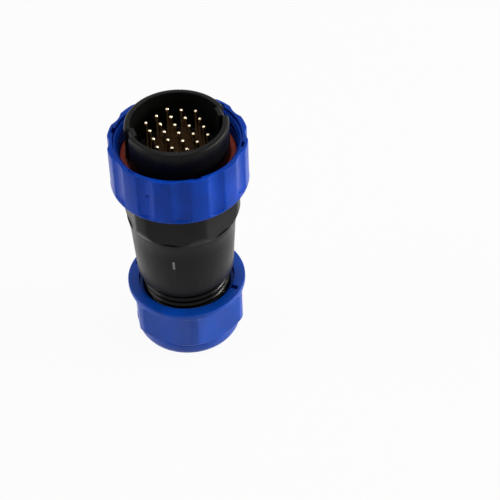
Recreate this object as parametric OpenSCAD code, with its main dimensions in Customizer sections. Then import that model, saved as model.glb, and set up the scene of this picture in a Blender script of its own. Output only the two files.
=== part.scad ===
// Circular cable plug: pin contacts in a keyed nose, a free-turning coupling ring
// and a cable gland. It stands on the gland nut with its axis along +Z.

/* [Contacts] */
// Diameter of a contact pin
pin_d = 1.0; // [0.8:0.05:1.2]
// Distance between pins in a row, and between rows
pin_pitch = 3.5; // [3.2:0.05:4]
// How far the pin tips lie below the nose rim
pin_recess = 2.2; // [1:0.1:5]
// Diameter of a contact's collar and solder cup
cup_d = 1.6; // [1.5:0.05:1.8]
// Wall of a solder cup
cup_wall = 0.25; // [0.15:0.05:0.35]
// Length of solder cup behind the insert
cup_reach = 4.6; // [3:0.1:5]
// Depth of the hole in a solder cup
cup_depth = 3.2; // [2:0.1:4]

/* [Insert] */
// Thickness of the insert behind its seat
insert_t = 6.0; // [4.5:0.1:6.5]
// Width of insert outside the outermost pins
insert_margin = 2.15; // [1.8:0.05:2.6]
// How far the insert's face lies below the flange's front
insert_drop = 0.7; // [0.3:0.05:1.2]
// Thickness of insert between its seat and the contacts' collars
collar_cover = 1.5; // [1:0.1:2.5]
// Thickness of the retaining ring behind the insert
retainer_t = 2.0; // [1.4:0.1:2.4]
// Radial width of the retaining ring
retainer_w = 1.1; // [0.8:0.05:1.2]
// Width of the retaining ring's spanner slots
retainer_slot = 1.5; // [1:0.1:2.5]

/* [Front shell] */
// Length of the nose ahead of the seal
nose_len = 10.4; // [8:0.1:12]
// Wall of the nose
nose_wall = 1.7; // [1.2:0.05:2]
// Space between the insert and the inside of the nose
nose_space = 1.4; // [1.1:0.05:1.6]
// Depth of each keyway
key_depth = 1.0; // [0.5:0.05:1]
// Width of the main key, as an angle
key_span = 17.6; // [10:0.2:24]
// Width of the second key, as an angle
second_key_span = 15; // [10:0.2:24]
// Thickness of the flange behind the seal
flange_t = 3.6; // [2.8:0.1:5]
// Thickness of the seat that stops the insert
seat_t = 2.0; // [1.2:0.1:2.4]
// Width of the seat that stops the insert
seat_w = 0.6; // [0.4:0.05:0.9]
// Wall of the spigot that screws into the back shell
spigot_wall = 1.3; // [1:0.05:1.6]
// Length of the spigot behind the flange
spigot_len = 10.6; // [10:0.1:12]
// Rounding of the nose rim's outer edge
rim_round = 1.2; // [0.4:0.05:1.3]

/* [Seals] */
// Thickness of the face seal
seal_t = 1.2; // [0.8:0.1:1.6]
// Width of the face seal's seat
seal_w = 1.75; // [1.6:0.05:2.6]
// Section of the O-ring between the shells
o_ring_d = 1.1; // [0.8:0.05:1.2]

/* [Coupling] */
// Height of the grip ring above the seal
ring_reach = 5.0; // [3.5:0.1:7]
// How far the grip ring hangs over the back shell
ring_skirt = 1.8; // [0.8:0.1:3]
// Wall of the grip ring at the bottom of a flute
ring_wall = 0.9; // [0.7:0.05:1.4]
// Number of flutes round the grip ring
flute_count = 12; // [6:6:18]
// Depth of a flute
flute_depth = 0.65; // [0.4:0.05:1]
// Width of a flute across its edges
flute_w = 5.0; // [3:0.1:6]
// Height over which a flute runs out towards the grip ring's bottom
flute_runout = 0.6; // [0.3:0.1:4]
// Rounding of the grip ring's top edge
ring_top_round = 0.3; // [0.2:0.05:0.7]
// Rounding of the grip ring's bottom edge
ring_foot_round = 0.4; // [0.2:0.05:1.1]
// Wall of the coupling nut outside its thread
nut_wall = 1.2; // [0.9:0.05:1.6]
// Width of the bevel at the coupling nut's mouth
nut_lead_w = 0.65; // [0.3:0.05:0.8]
// Depth of the bevel at the coupling nut's mouth
nut_lead_h = 0.9; // [0.5:0.05:1.5]
// Thickness of the lip that holds the coupling nut
lip_t = 2.0; // [1.4:0.1:3]
// How far the coupling nut lies below the grip ring's top
nut_recess = 0.9; // [0:0.05:1]
// Number of ribs that key the coupling nut to the grip ring
rib_count = 6; // [3:3:6]
// Height of a rib
rib_h = 0.7; // [0.4:0.05:0.8]
// Width of a rib
rib_w = 2.0; // [1.2:0.1:2.6]
// How far a rib ends below the grip ring's top
rib_drop = 3.0; // [2:0.1:5]

/* [Back shell] */
// Length of the part with wrench flats
flats_h = 13.5; // [11.5:0.1:16]
// Wall at the middle of a wrench flat
flats_wall = 2.7; // [2.2:0.05:3.2]
// Trim of each corner between wrench flats
corner_trim = 1.05; // [0.5:0.05:1.4]
// Height of the bevel under each corner
corner_bevel_h = 1.5; // [0.8:0.1:3]
// Width of the ledge under each wrench flat
ledge_w = 0.35; // [0.2:0.05:0.6]
// Length of the round body under the ledge
body_h = 20.3; // [16:0.1:28]
// Height of the shoulder under the ledge
shoulder_h = 4.1; // [2:0.1:6]
// How much the shoulder draws in
shoulder_draw = 0.7; // [0.3:0.05:1]
// Step from the rear thread out to the round body
body_step = 1.2; // [0.8:0.05:1.6]
// Wall of the round body at its rear end
body_wall = 2.4; // [1.8:0.05:2.8]
// Length of the index mark on the body
mark_len = 3.1; // [2:0.1:4]
// Width of the index mark
mark_w = 0.7; // [0.5:0.05:1]
// Height of the index mark above the body
mark_h = 0.2; // [0.1:0.05:0.3]
// Distance of the index mark's middle below the shoulder
mark_drop = 4.1; // [2.5:0.1:6]
// Place of the index mark round the body
mark_turn = 240; // [0:5:355]

/* [Cable gland] */
// Diameter of cable that the grommet takes
cable_d = 13.2; // [10:0.1:14]
// Wall of the grommet
grommet_wall = 3.2; // [2.6:0.1:3.6]
// Length of the grommet
grommet_len = 7.2; // [5:0.1:9]
// Width of the shoulder that stops the grommet
neck_step = 0.9; // [0.6:0.05:1.5]
// Wall of the rear tube under its thread
rear_wall = 1.9; // [1.5:0.05:2.4]
// Depth of the rear thread
thread_depth = 0.7; // [0.4:0.05:0.9]
// Pitch of the rear thread
thread_pitch = 2.0; // [1.5:0.05:2.5]
// Rear thread left showing between gland nut and body
thread_shown = 5.4; // [3:0.1:7]
// Height of the gland nut
gland_h = 18.8; // [16:0.1:24]
// Wall of the gland nut at the middle of a flat
gland_wall = 2.4; // [1.6:0.05:3]
// Trim of each corner of the gland nut
gland_trim = 0.55; // [0.2:0.05:0.9]
// Overhang of the gland nut's rim beyond its corners
gland_lip = 0.1; // [0.05:0.05:0.6]
// Height of the gland nut's rim
gland_rim_h = 1.4; // [1:0.1:3]
// Height of the flare under the gland nut's rim
gland_flare_h = 0.9; // [0.5:0.1:2]
// Rounding of the gland nut's rim
gland_rim_round = 0.4; // [0.2:0.05:0.45]
// Thickness of the gland nut's floor
gland_floor = 3.0; // [2:0.1:4]
// Height of the gland nut's round foot
gland_foot_h = 4.8; // [3.5:0.1:6]
// Rounding of the round foot's bottom edge
gland_foot_round = 3.0; // [1:0.1:3.2]
// Overhang of the round foot's top beyond the flats
gland_foot_lip = 0.05; // [0.05:0.05:0.3]
// Draw of the round foot from its top to its bottom
gland_foot_draw = 0.2; // [0.1:0.05:0.8]
// Height of the bevel under each corner of the gland nut
gland_bevel_h = 2.2; // [1:0.1:5]
// Width of the recess at the gland nut's mouth
gland_mouth_w = 1.1; // [0.4:0.05:1.3]
// Depth of the recess at the gland nut's mouth
gland_mouth_h = 1.5; // [0.5:0.05:2]
// Number of notches in the gland nut's rim
notch_count = 2; // [1:1:3]
// How far a notch reaches beyond the recess
notch_reach = 2.0; // [1:0.1:2.4]
// Width of a notch in the gland nut's rim
notch_w = 1.3; // [0.8:0.1:2]
// Depth of a notch in the gland nut's rim
notch_depth = 1.2; // [0.6:0.1:1.6]
// Turn of the gland nut at rest
gland_turn = 19.5; // [0:0.5:60]
// Thickness of the thrust ring
thrust_t = 2.1; // [1.4:0.1:2.6]

/* [Clearances] */
// Between parts that turn on each other
running_gap = 0.1; // [0.05:0.01:0.1]
// Between parts that are fixed in each other
seat_gap = 0.05; // [0.02:0.01:0.1]
// Along the axis, each side of the coupling nut's lip
float_gap = 0.3; // [0.2:0.05:0.5]
// Between flange and coupling thread
flange_gap = 0.35; // [0.3:0.05:0.6]
// Left when the gland is fully tightened
tight_gap = 0.6; // [0.4:0.05:1]
// Between the gland's inner pieces and what they pass
loose_gap = 0.3; // [0.2:0.05:0.4]

/* [Hidden] */
$fn = 96;
// Overshoot of a cut beyond the face that it opens
over = 1;
// Small edge break on moulded parts
edge = 0.3;
// Pins in each row
PIN_ROWS = [4, 5, 6, 5, 4];
PIN_XY = [for (row = [0 : len(PIN_ROWS) - 1], i = [0 : PIN_ROWS[row] - 1])
    [(row - (len(PIN_ROWS) - 1) / 2) * pin_pitch, (i - (PIN_ROWS[row] - 1) / 2) * pin_pitch]];
PIN_COUNT = len(PIN_XY);
// Half the angle that one side of a hexagon spans
HEX_HALF = 180 / 6;

// Radii from the contacts outwards
pin_r = pin_d / 2;
cup_r = cup_d / 2;
cup_hole_r = cup_r - cup_wall;
pin_circle_r = (max(PIN_ROWS) - 1) / 2 * pin_pitch;
insert_r = pin_circle_r + insert_margin;
shell_bore_r = insert_r + seat_gap;
seat_r = shell_bore_r - seat_w;
boss_r = seat_r - seat_gap;
retainer_hole_r = insert_r - retainer_w;
nose_in_r = insert_r + nose_space;
nose_r = nose_in_r + nose_wall;
key_r = nose_in_r - key_depth;
groove_r = nose_r - key_depth;
spigot_r = shell_bore_r + spigot_wall;
flange_r = nose_r + seal_w;
seal_in_r = nose_r + seat_gap;
seal_out_r = flange_r - seat_gap;
nut_bore_r = flange_r + flange_gap;
nut_r = nut_bore_r + nut_wall;
lip_r = spigot_r + running_gap;
rib_r = nut_r + rib_h;
ring_bore_r = nut_r + seat_gap;
flute_r = ring_bore_r + ring_wall;
ring_r = flute_r + flute_depth;
back_bore_r = spigot_r + seat_gap;
o_ring_out_r = back_bore_r - seat_gap;
o_ring_seat_r = o_ring_out_r - o_ring_d;
flats_r = back_bore_r + flats_wall;
corner_r = flats_r / cos(HEX_HALF) - corner_trim;
ledge_r = flats_r + ledge_w;
shoulder_r = ledge_r - shoulder_draw;

// Radii of the gland, from the cable outwards
cable_r = cable_d / 2;
grommet_r = cable_r + grommet_wall;
grommet_bore_r = grommet_r + seat_gap;
neck_r = grommet_r - neck_step;
thrust_hole_r = cable_r + loose_gap;
thrust_r = grommet_r - loose_gap;
gland_hole_r = thrust_hole_r + loose_gap;
thread_root_r = grommet_bore_r + rear_wall;
thread_r = thread_root_r + thread_depth;
body_end_r = thread_r + body_step;
chamber_r = body_end_r - body_wall;
gland_bore_r = thread_r + running_gap;
gland_mouth_r = gland_bore_r + gland_mouth_w;
gland_flats_r = gland_bore_r + gland_wall;
gland_corner_r = gland_flats_r / cos(HEX_HALF) - gland_trim;
gland_rim_r = gland_corner_r + gland_lip;
gland_foot_top_r = gland_flats_r + gland_foot_lip;
gland_foot_r = gland_foot_top_r - gland_foot_draw;
notch_r = gland_mouth_r + notch_reach;

// Heights from the gland nut upwards
gland_advance = thread_shown - tight_gap;
z_gland_rim = gland_h - gland_rim_h;
z_thrust_top = gland_floor + thrust_t;
z_tube_end = gland_floor + gland_advance + loose_gap;
z_grommet = z_thrust_top + gland_advance + loose_gap;
z_grommet_top = z_grommet + grommet_len;
z_body_end = gland_h + thread_shown;
z_chamber = z_body_end + body_wall;
z_ledge = z_body_end + body_h;
z_shoulder = z_ledge - shoulder_h;
z_mark = z_shoulder - mark_drop;
z_flats_top = z_ledge + flats_h;
z_lip = z_flats_top + float_gap;
z_lip_top = z_lip + lip_t;
z_flange = z_lip_top + float_gap;
z_seal = z_flange + flange_t;
z_seal_top = z_seal + seal_t;
z_rim = z_seal_top + nose_len;
z_pin_tip = z_rim - pin_recess;
z_ring = z_flats_top - ring_skirt;
z_ring_top = z_seal_top + ring_reach;
z_nut_top = z_ring_top - nut_recess;
z_rib_top = z_ring_top - rib_drop;
z_insert_top = z_seal - insert_drop;
z_seat = z_insert_top - seat_t;
z_collar_top = z_seat - collar_cover;
z_insert = z_seat - insert_t;
z_cup = z_insert - cup_reach;
z_retainer = z_insert - retainer_t;
z_spigot = z_flange - spigot_len;
z_o_ring = z_spigot - o_ring_d;

function two_digits(n) = n < 10 ? str("0", n) : str(n);
CONTACTS = [for (i = [1 : PIN_COUNT]) str("contact_", two_digits(i))];

// Points of an arc in a profile, from one angle to another
function arc(r, z, radius, from, to, steps = 4) =
    [for (i = [0 : steps]) let (a = from + (to - from) * i / steps) [r + radius * cos(a), z + radius * sin(a)]];

// Solid of revolution from a profile of [radius, height] points
module lathe(profile) {
    rotate_extrude() polygon(profile);
}

// Part of a sleeve, centred on the given angle
module sleeve_sector(r_out, r_in, z0, z1, turn, span) {
    rotate([0, 0, turn - span / 2])
        rotate_extrude(angle = span) polygon([[r_in, z0], [r_out, z0], [r_out, z1], [r_in, z1]]);
}

// Block that stands out from one radius to another, at the given angle
module radial_block(r0, r1, w, z0, z1, turn) {
    rotate([0, 0, turn]) translate([r0, -w / 2, z0]) cube([r1 - r0, w, z1 - z0]);
}

// Six-sided bar with a corner on +X
module hex_bar(flats, z0, z1) {
    translate([0, 0, z0]) linear_extrude(z1 - z0) circle(r = flats / cos(HEX_HALF), $fn = 6);
}

// Angle of each rib of the coupling nut, on a crest of the grip ring
function rib_turn(i) = 360 / flute_count + i * 360 / rib_count;

// Grip ring, fluted outside and slotted inside
module coupling_ring() {
    flute_pitch = 360 / flute_count;
    half_flute = flute_w / 2;
    sag = sqrt(ring_r * ring_r - half_flute * half_flute) - flute_r;
    flute_cut_r = (half_flute * half_flute + sag * sag) / (2 * sag);
    z_flute = z_ring + ring_foot_round;
    module flute() {
        lathe([[0, z_flute], [flute_cut_r - flute_depth, z_flute], [flute_cut_r, z_flute + flute_runout],
            [flute_cut_r, z_ring_top + over], [0, z_ring_top + over]]);
    }
    module rounded_bar() {
        lathe(concat([[0, z_ring]],
            arc(ring_r - ring_foot_round, z_ring + ring_foot_round, ring_foot_round, -90, 0),
            arc(ring_r - ring_top_round, z_ring_top - ring_top_round, ring_top_round, 0, 90),
            [[0, z_ring_top]]));
    }
    module bore() {
        lathe([[0, z_ring - over], [ring_bore_r + edge, z_ring - over], [ring_bore_r + edge, z_ring],
            [ring_bore_r, z_ring + edge], [ring_bore_r, z_ring_top - edge], [ring_bore_r + edge, z_ring_top],
            [ring_bore_r + edge, z_ring_top + over], [0, z_ring_top + over]]);
    }
    color([0.08, 0.25, 0.68]) difference() {
        rounded_bar();
        bore();
        for (i = [0 : flute_count - 1])
            rotate([0, 0, (i + 0.5) * flute_pitch]) translate([flute_r + flute_cut_r, 0, 0]) flute();
        for (i = [0 : rib_count - 1])
            radial_block(ring_bore_r - over, rib_r + seat_gap, rib_w + 2 * seat_gap, z_lip, z_ring_top + over,
                rib_turn(i));
    }
}

// Threaded nut inside the grip ring
module coupling_nut() {
    color([0.08, 0.25, 0.68]) union() {
        lathe([[lip_r, z_lip], [nut_r, z_lip], [nut_r, z_nut_top], [nut_bore_r + nut_lead_w, z_nut_top],
            [nut_bore_r, z_nut_top - nut_lead_h], [nut_bore_r, z_lip_top], [lip_r, z_lip_top]]);
        for (i = [0 : rib_count - 1])
            radial_block(nut_r - edge, rib_r, rib_w, z_lip, z_rib_top, rib_turn(i));
    }
}

// Nose with two keyways, flange and spigot
module front_shell() {
    KEYS = [[0, key_span], [180, second_key_span]];
    module round_shell() {
        lathe(concat(
            [[shell_bore_r, z_spigot], [spigot_r - edge, z_spigot], [spigot_r, z_spigot + edge],
                [spigot_r, z_flange], [flange_r, z_flange], [flange_r, z_seal], [nose_r, z_seal]],
            arc(nose_r - rim_round, z_rim - rim_round, rim_round, 0, 90),
            arc(nose_in_r + edge, z_rim - edge, edge, 90, 180),
            [[nose_in_r, z_insert_top], [seat_r, z_insert_top], [seat_r, z_seat], [shell_bore_r, z_seat]]));
    }
    color([0.08, 0.08, 0.09]) difference() {
        union() {
            // A quarter turn keeps the start of the round shell away from the keys
            rotate([0, 0, 90]) round_shell();
            for (key = KEYS)
                sleeve_sector(nose_in_r + edge, key_r, z_insert_top, z_rim - 2 * edge, key[0], key[1]);
        }
        for (key = KEYS)
            sleeve_sector(nose_r + over, groove_r, z_seal_top, z_rim + over, key[0], key[1]);
    }
}

// Silicone ring round the foot of the nose
module face_seal() {
    color([0.5, 0.2, 0.13])
        lathe([[seal_in_r, z_seal], [seal_out_r, z_seal], [seal_out_r, z_seal_top - edge],
            [seal_out_r - edge, z_seal_top], [seal_in_r + edge, z_seal_top], [seal_in_r, z_seal_top - edge]]);
}

// Disc that holds the contacts
module contact_insert() {
    module contact_hole() {
        translate([0, 0, z_insert - over])
            cylinder(r = pin_r + seat_gap, h = z_insert_top - z_insert + 2 * over);
        translate([0, 0, z_insert - over])
            cylinder(r = cup_r + seat_gap, h = z_collar_top - z_insert + over);
    }
    color([0.1, 0.1, 0.11]) difference() {
        lathe([[0, z_insert], [insert_r, z_insert], [insert_r, z_seat], [boss_r, z_seat],
            [boss_r, z_insert_top], [0, z_insert_top]]);
        for (xy = PIN_XY) translate(xy) contact_hole();
    }
}

// One contact: round tip, pin, collar and solder cup cut open on one side
module contact(xy) {
    color([0.83, 0.66, 0.33]) translate(xy) difference() {
        lathe(concat(
            [[0, z_cup + cup_depth], [cup_hole_r, z_cup + cup_depth], [cup_hole_r, z_cup], [cup_r, z_cup],
                [cup_r, z_collar_top], [pin_r, z_collar_top]],
            arc(0, z_pin_tip - pin_r, pin_r, 0, 90)));
        radial_block(0, cup_r + over, cup_d + over, z_cup - over, z_cup + cup_depth / 2, 0);
    }
}

// Ring screwed in behind the insert
module insert_retainer() {
    color([0.1, 0.1, 0.11]) difference() {
        lathe([[retainer_hole_r, z_retainer], [insert_r, z_retainer], [insert_r, z_insert],
            [retainer_hole_r, z_insert]]);
        for (turn = [0, 180])
            radial_block(retainer_hole_r - over, insert_r + over, retainer_slot, z_retainer - over,
                z_retainer + retainer_t / 2, turn);
    }
}

// O-ring between the end of the spigot and the back shell
module shell_o_ring() {
    color([0.12, 0.11, 0.11]) rotate_extrude()
        translate([o_ring_out_r - o_ring_d / 2, z_o_ring + o_ring_d / 2]) circle(d = o_ring_d);
}

// Body with wrench flats, a tapered round part and the rear thread
module back_shell() {
    thread_turns = floor((z_body_end - z_tube_end) / thread_pitch - 0.5);
    z_thread = z_body_end - thread_turns * thread_pitch - thread_pitch / 4;
    crest = thread_pitch / 8;
    flank = thread_pitch / 4;
    module flats() {
        intersection() {
            rotate([0, 0, HEX_HALF]) hex_bar(flats_r, z_ledge - over, z_flats_top);
            lathe([[0, z_ledge - over], [shoulder_r, z_ledge - over], [ledge_r, z_ledge],
                [corner_r, z_ledge + corner_bevel_h], [corner_r, z_flats_top - edge],
                [corner_r - edge, z_flats_top], [0, z_flats_top]]);
        }
    }
    module round_body() {
        lathe([[0, z_body_end], [body_end_r - edge, z_body_end], [body_end_r, z_body_end + edge],
            [shoulder_r, z_shoulder], [ledge_r, z_ledge], [0, z_ledge]]);
    }
    module threaded_tube() {
        lathe(concat(
            [[0, z_tube_end], [thread_root_r - edge, z_tube_end], [thread_root_r, z_tube_end + edge]],
            [for (i = [0 : thread_turns - 1], p = [[thread_root_r, -flank - crest], [thread_r, -crest],
                [thread_r, crest], [thread_root_r, flank + crest]])
                [p[0], z_thread + (i + 0.5) * thread_pitch + p[1]]],
            [[thread_root_r, z_body_end + over], [0, z_body_end + over]]));
    }
    module hollow() {
        lathe([[0, z_tube_end - over], [grommet_bore_r, z_tube_end - over], [grommet_bore_r, z_grommet_top],
            [neck_r, z_grommet_top], [neck_r, z_body_end], [chamber_r, z_chamber],
            [o_ring_seat_r, z_shoulder], [o_ring_seat_r, z_o_ring], [back_bore_r, z_o_ring],
            [back_bore_r, z_flats_top + over], [0, z_flats_top + over]]);
    }
    module index_mark() {
        slope = (shoulder_r - body_end_r) / (z_shoulder - z_body_end);
        mark_r = shoulder_r - slope * mark_drop;
        rotate([0, 0, mark_turn]) translate([mark_r, 0, z_mark]) rotate([0, atan(slope), 0])
            translate([-over, -mark_w / 2, -mark_len / 2]) cube([over + mark_h, mark_w, mark_len]);
    }
    color([0.1, 0.1, 0.1]) difference() {
        union() {
            flats();
            round_body();
            threaded_tube();
            index_mark();
        }
        hollow();
    }
}

// Rubber sleeve that grips the cable
module cable_grommet() {
    color([0.16, 0.16, 0.16])
        lathe([[cable_r, z_grommet], [grommet_r - edge, z_grommet], [grommet_r, z_grommet + edge],
            [grommet_r, z_grommet_top], [cable_r, z_grommet_top]]);
}

// Ring between the gland nut's floor and the grommet
module thrust_ring() {
    color([0.2, 0.2, 0.2])
        lathe([[thrust_hole_r, gland_floor], [thrust_r, gland_floor], [thrust_r, z_thrust_top - edge],
            [thrust_r - edge, z_thrust_top], [thrust_hole_r, z_thrust_top]]);
}

// Six-sided gland nut with a round rim
module gland_nut() {
    module wall() {
        intersection() {
            hex_bar(gland_flats_r, 0, gland_h - edge);
            lathe(concat([[0, 0]],
                arc(gland_foot_r - gland_foot_round, gland_foot_round, gland_foot_round, -90, 0, 6),
                [[gland_foot_top_r, gland_foot_h], [gland_corner_r, gland_foot_h + gland_bevel_h],
                    [gland_corner_r, gland_h], [0, gland_h]]));
        }
    }
    module rim() {
        lathe(concat([[0, z_gland_rim - gland_flare_h], [gland_flats_r, z_gland_rim - gland_flare_h]],
            arc(gland_rim_r - gland_rim_round, z_gland_rim + gland_rim_round, gland_rim_round, -60, 0),
            arc(gland_rim_r - gland_rim_round, gland_h - gland_rim_round, gland_rim_round, 0, 90),
            [[0, gland_h]]));
    }
    module hollow() {
        lathe([[0, -over], [gland_hole_r, -over], [gland_hole_r, gland_floor], [gland_bore_r, gland_floor],
            [gland_bore_r, gland_h - gland_mouth_h], [gland_mouth_r, gland_h - gland_mouth_h],
            [gland_mouth_r, gland_h + over], [0, gland_h + over]]);
    }
    color([0.1, 0.28, 0.68]) rotate([0, 0, gland_turn]) difference() {
        union() {
            wall();
            rim();
        }
        hollow();
        for (i = [0 : notch_count - 1])
            radial_block(gland_mouth_r - over, notch_r, notch_w, gland_h - notch_depth, gland_h + over,
                i * 360 / notch_count - 2 * HEX_HALF);
    }
}

coupling_ring();
coupling_nut();
front_shell();
face_seal();
contact_insert();
insert_retainer();
shell_o_ring();
back_shell();
cable_grommet();
thrust_ring();
gland_nut();
for (i = [0 : PIN_COUNT - 1])
    contact(PIN_XY[i]);
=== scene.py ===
"""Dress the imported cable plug: moulded shells, coupling ring, gland nut, face seal and gold pins.

Sizes in the classes are millimetres, angles are degrees about +Z, and meshes are made in metres.
"""
import logging
import math
from dataclasses import dataclass
from enum import Enum
from functools import cache
from typing import Callable, Iterable, Mapping, Optional, Sequence, Union

import bpy
from mathutils import Matrix, Vector


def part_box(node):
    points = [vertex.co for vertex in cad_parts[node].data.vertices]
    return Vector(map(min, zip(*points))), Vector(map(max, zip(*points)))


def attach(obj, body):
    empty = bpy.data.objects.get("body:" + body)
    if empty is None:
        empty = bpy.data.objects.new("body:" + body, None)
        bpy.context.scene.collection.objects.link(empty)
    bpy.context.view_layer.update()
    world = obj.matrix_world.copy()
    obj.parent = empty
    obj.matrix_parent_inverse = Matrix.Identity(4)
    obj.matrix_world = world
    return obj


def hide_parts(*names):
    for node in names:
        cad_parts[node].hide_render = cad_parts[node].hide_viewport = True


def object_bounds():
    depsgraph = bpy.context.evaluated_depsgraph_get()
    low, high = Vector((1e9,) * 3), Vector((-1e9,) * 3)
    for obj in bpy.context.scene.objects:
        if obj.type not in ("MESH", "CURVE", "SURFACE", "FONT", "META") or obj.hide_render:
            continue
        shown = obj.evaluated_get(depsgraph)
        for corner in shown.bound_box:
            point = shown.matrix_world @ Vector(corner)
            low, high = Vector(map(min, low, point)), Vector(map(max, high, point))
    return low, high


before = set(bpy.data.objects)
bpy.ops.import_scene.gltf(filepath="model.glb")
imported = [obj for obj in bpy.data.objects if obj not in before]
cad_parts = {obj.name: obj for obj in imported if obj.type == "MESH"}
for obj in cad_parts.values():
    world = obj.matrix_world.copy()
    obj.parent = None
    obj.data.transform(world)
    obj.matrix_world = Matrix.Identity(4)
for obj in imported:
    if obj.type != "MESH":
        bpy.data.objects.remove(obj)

LOG = logging.getLogger("cable_plug")
CAD_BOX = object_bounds()
MIDDLE = (CAD_BOX[0] + CAD_BOX[1]) / 2
MM = 0.001
SHARP_EDGE = math.radians(38)
FILLET_STEPS = 5
# Share of a side that a fillet may take up, beside another fillet and beside a plain corner
SHARED_SIDE = 0.48
WHOLE_SIDE = 0.96
# Least half of a filleted corner's angle, in radians
LEAST_HALF_ANGLE = 0.05
# Directions closer together than this, in degrees, count as one
NEAR_DOUBLE = 0.02
# Height over which a level step in a section changes its radius
STEP_RISE = 0.06
# Usual low and high of a noise value
NOISE_LOW = 0.3
NOISE_HIGH = 0.7
WHITE = (1, 1, 1, 1)

Mm = float
Degrees = float
Colour = tuple[float, float, float]
Corner = tuple[Mm, Mm, Mm]
Section = list[tuple[Mm, Mm]]
Socket = bpy.types.NodeSocket
Values = Mapping[Union[str, int], object]


class Body(Enum):
    """Bodies that the plug's pieces ride on."""

    SHELL = "shell"
    COUPLING = "coupling"
    GLAND = "gland"


class Slot(Enum):
    """Material slots of the record that new pieces use."""

    GRIP_BLUE = "grip_blue"
    GLAND_BLUE = "gland_blue"
    SHELL_BLACK = "shell_black"
    SEAL_RED = "seal_red"
    CONTACT_GOLD = "contact_gold"


class Fillet(float, Enum):
    """Fillets that the pieces share, in millimetres."""

    FINE = 0.05
    BROKEN = 0.1
    SLIGHT = 0.15
    SMALL = 0.2
    MEDIUM = 0.25
    PLAIN = 0.3
    LARGE = 0.35
    FULL = 0.5


@dataclass(frozen=True)
class Span:
    """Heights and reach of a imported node, in millimetres."""

    foot: Mm
    top: Mm
    reach: Mm

    @classmethod
    def of(cls, node: str) -> "Span":
        """Measure a node: its lowest and highest level and its reach along X."""
        low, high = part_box(node)
        return cls(low.z / MM, high.z / MM, high.x / MM)


def linear(colour: Colour) -> list[float]:
    """Turn a display colour of 0 to 255 into the shader's linear red, green, blue and alpha."""
    shares = [value / 255 for value in colour]
    return [s / 12.92 if s <= 0.04045 else ((s + 0.055) / 1.055) ** 2.4 for s in shares] + [1.0]


def scaled_colour(colour: Colour, factor: float) -> Colour:
    """Make a display colour darker or lighter."""
    red, green, blue = (min(255.0, value * factor) for value in colour)
    return red, green, blue


def ramp(low: float, high: float, value: float) -> float:
    """Rise evenly from 0 at low to 1 at high, and stay there."""
    return min(1.0, max(0.0, (value - low) / (high - low)))


def smooth_step(low: float, high: float, value: float) -> float:
    """Ease from 0 at low to 1 at high, also where low is the greater."""
    share = ramp(low, high, value)
    return share * share * (3 - 2 * share)


def soft_min(first: Mm, second: Mm, blend: Mm) -> Mm:
    """Take the smaller of two radii, with a change-over that is rounded over the blend's width."""
    low = min(first, second)
    return low - blend * math.log1p(math.exp(-abs(first - second) / blend))


def turn_between(angle: Degrees, other: Degrees) -> Degrees:
    """Give the signed angle from one direction to another, from -180 to 180."""
    return (angle - other + 180) % 360 - 180


def fillet_room(neighbour: Corner) -> float:
    """Give the share of a side that a fillet may take up, by the corner at the side's other end."""
    return SHARED_SIDE if neighbour[2] > 0 else WHOLE_SIDE


def rounded(corners: Sequence[Corner], closed: bool = True) -> Section:
    """Round the corners of a section.

    Args:
        corners: Radius, height and fillet of each corner; a fillet of 0 keeps the corner.
        closed: Whether the last corner joins the first.

    Returns:
        Points of the rounded section, always as many for corners of the same kind.
    """
    points: Section = []
    count = len(corners)
    for i, (r, z, fillet) in enumerate(corners):
        at_end = not closed and i in (0, count - 1)
        if fillet <= 0 or at_end:
            points.append((r, z))
            continue
        here = Vector((r, z))
        before = corners[i - 1]
        after = corners[(i + 1) % count]
        back = Vector(before[:2]) - here
        ahead = Vector(after[:2]) - here
        half = max(LEAST_HALF_ANGLE, back.angle(ahead, math.pi / 2) / 2)
        reach = fillet / math.tan(half)
        start = here + back.normalized() * min(reach, fillet_room(before) * back.length)
        end = here + ahead.normalized() * min(reach, fillet_room(after) * ahead.length)
        for step in range(FILLET_STEPS + 1):
            t = step / FILLET_STEPS
            pull = 2 * t * (1 - t) * math.sin(half)
            total = (1 - t) ** 2 + pull + t ** 2
            point = (start * (1 - t) ** 2 + here * pull + end * t ** 2) / total
            points.append((point.x, point.y))
    return points


def rows(low: Mm, high: Mm, pitch: Mm) -> list[Mm]:
    """List evenly spaced levels from low to high, no further apart than the pitch."""
    count = max(1, math.ceil((high - low) / pitch))
    return [low + (high - low) * i / count for i in range(count + 1)]


def angles_with(extra: Iterable[Degrees], count: int) -> list[Degrees]:
    """List directions round the axis, with some added where a shape changes fast.

    Args:
        extra: Directions to add.
        count: Number of evenly spaced directions.

    Returns:
        All directions from 0 to 360, in order, with near doubles left out.
    """
    even = {i * 360 / count for i in range(count)}
    kept: list[Degrees] = []
    for angle in sorted(even | {a % 360 for a in extra}):
        if not kept or angle - kept[-1] >= NEAR_DOUBLE:
            kept.append(angle)
    return kept


def edge_pair(angle: Degrees, ease: Degrees = 0.12) -> list[Degrees]:
    """Give the two directions between which a steep side rises."""
    return [angle - ease, angle + ease]


def fan(middle: Degrees, reach: Degrees, steps: int = 10) -> list[Degrees]:
    """List directions to both sides of a middle one, that many to each side as far as the reach."""
    return [middle + reach * i / steps for i in range(-steps, steps + 1)]


def make_object(name: str, points: list[Vector], faces: list[tuple[int, ...]]) -> bpy.types.Object:
    """Make a smooth-shaded mesh object and link it to the scene.

    Args:
        name: Name of the piece.
        points: Vertices in metres.
        faces: Vertex numbers of each face.

    Returns:
        The new object.
    """
    mesh = bpy.data.meshes.new(name)
    mesh.from_pydata(points, [], faces)
    mesh.validate()
    mesh.shade_smooth()
    mesh.set_sharp_from_angle(angle=SHARP_EDGE)
    piece = bpy.data.objects.new(name, mesh)
    bpy.context.scene.collection.objects.link(piece)
    return piece


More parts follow.
